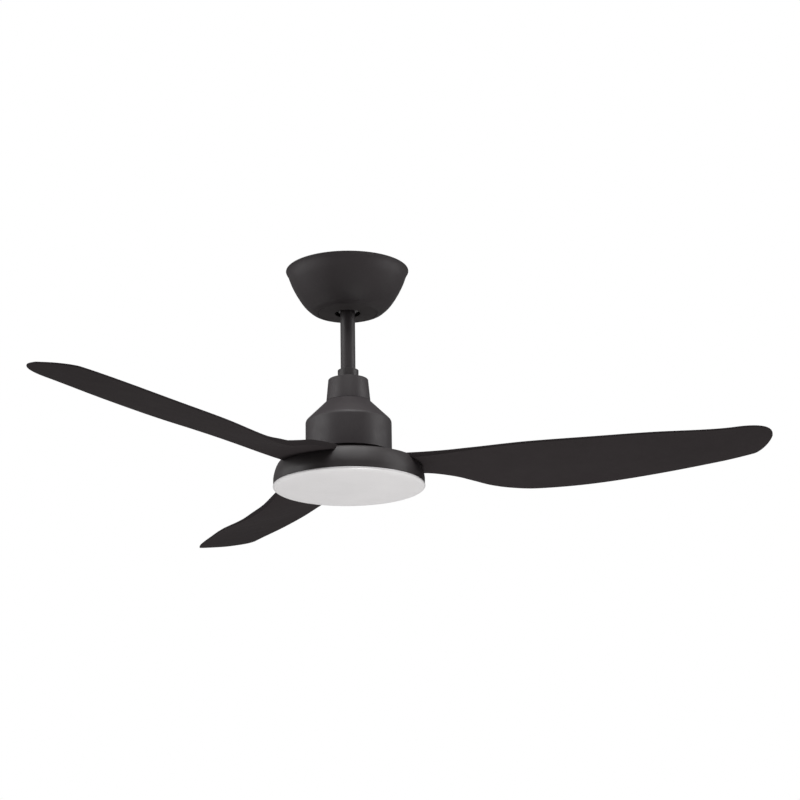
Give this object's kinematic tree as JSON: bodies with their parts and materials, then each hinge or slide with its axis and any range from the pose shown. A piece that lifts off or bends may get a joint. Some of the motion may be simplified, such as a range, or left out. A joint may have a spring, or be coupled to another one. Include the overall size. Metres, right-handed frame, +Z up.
{
  "type": "ceiling fan with light",
  "caption": "Matt black ceiling fan with long twisted blades on a short downrod, and a flat round LED light under the hub.",
  "frame": {"origin": "centre of the bracket's flat face against the ceiling", "axes": "+Z up out of the ceiling face, along the rotor's axis; +X along the bracket's long side, through its two screw slots"},
  "size_m": [0.9722, 1.0368, 0.3263],
  "materials": {
    "zinc": "dull zinc-plated steel sheet",
    "black_metal": "matt black powder coat",
    "black_plastic": "matt black moulded plastic with a fine grain",
    "black_satin": "black moulded plastic painted to match the metal",
    "black_nylon": "smooth black nylon",
    "white_plastic": "plain white moulded plastic",
    "natural_nylon": "natural nylon",
    "rubber": "soft black rubber",
    "lead_sleeve": "black lead sleeve",
    "steel": "bright zinc-plated steel",
    "bearing_steel": "ground bearing steel",
    "cast_aluminium": "as-cast aluminium",
    "laminations": "stacked electrical steel",
    "copper": "enamelled copper wire",
    "ferrite": "sintered ferrite",
    "circuit_board": "green circuit board",
    "led_board": "white solder mask on aluminium",
    "opal": "opal white acrylic, satin"
  },
  "bodies": {
    "root": {"ceiling_bracket": "zinc", "canopy": "black_metal", "canopy_ring": "black_plastic", "canopy_screw_1": "steel", "canopy_screw_2": "steel", "receiver_box": "white_plastic", "terminal_block": "natural_nylon"},
    "seat": {"ball_seat": "rubber"},
    "hanger": {"hanger_ball": "black_nylon", "hanger_pin": "steel", "ball_set_screw": "steel", "downrod": "black_metal", "lead_bundle": "lead_sleeve", "rod_collar": "black_satin", "coupling_yoke": "cast_aluminium", "coupling_pin": "steel", "coupling_pin_clip": "steel", "coupling_set_screw_1": "steel", "coupling_set_screw_2": "steel", "yoke_cover": "black_metal", "motor_housing": "black_metal", "housing_screw_1": "steel", "housing_screw_2": "steel", "housing_screw_3": "steel", "motor_shaft": "steel", "upper_bearing": "bearing_steel", "lower_bearing": "bearing_steel", "stator_core": "laminations", "upper_winding": "copper", "lower_winding": "copper", "driver_board": "circuit_board", "light_mount_plate": "zinc", "shaft_nut": "steel", "light_pan": "cast_aluminium", "pan_screw_1": "steel", "pan_screw_2": "steel", "pan_screw_3": "steel", "led_board": "led_board"},
    "rotor": {"rotor_upper_shell": "cast_aluminium", "rotor_lower_shell": "cast_aluminium", "magnet_ring": "ferrite", "blade_hub": "black_satin", "blade_1": "black_plastic", "blade_1_screw_1": "steel", "blade_1_screw_2": "steel", "hub_screw_1": "steel", "blade_2": "black_plastic", "blade_2_screw_1": "steel", "blade_2_screw_2": "steel", "hub_screw_2": "steel", "blade_3": "black_plastic", "blade_3_screw_1": "steel", "blade_3_screw_2": "steel", "hub_screw_3": "steel"},
    "light_cover": {"diffuser": "opal"}
  },
  "joints": [
    {"name": "tilt_x", "type": "hinge", "parent": "root", "child": "seat", "pos_m": [0, 0, -0.036], "axis": [1, 0, 0], "range_deg": [-3, 3]},
    {"name": "tilt_y", "type": "hinge", "parent": "seat", "child": "hanger", "pos_m": [0, 0, -0.036], "axis": [0, 1, 0], "range_deg": [-3, 3]},
    {"name": "rotor_spin", "type": "hinge", "parent": "hanger", "child": "rotor", "pos_m": [0, 0, -0.24], "axis": [0, 0, 1], "continuous": true},
    {"name": "cover_twist", "type": "hinge", "parent": "hanger", "child": "light_cover", "pos_m": [0, 0, -0.32], "axis": [0, 0, 1], "range_deg": [0, 20]}
  ]
}
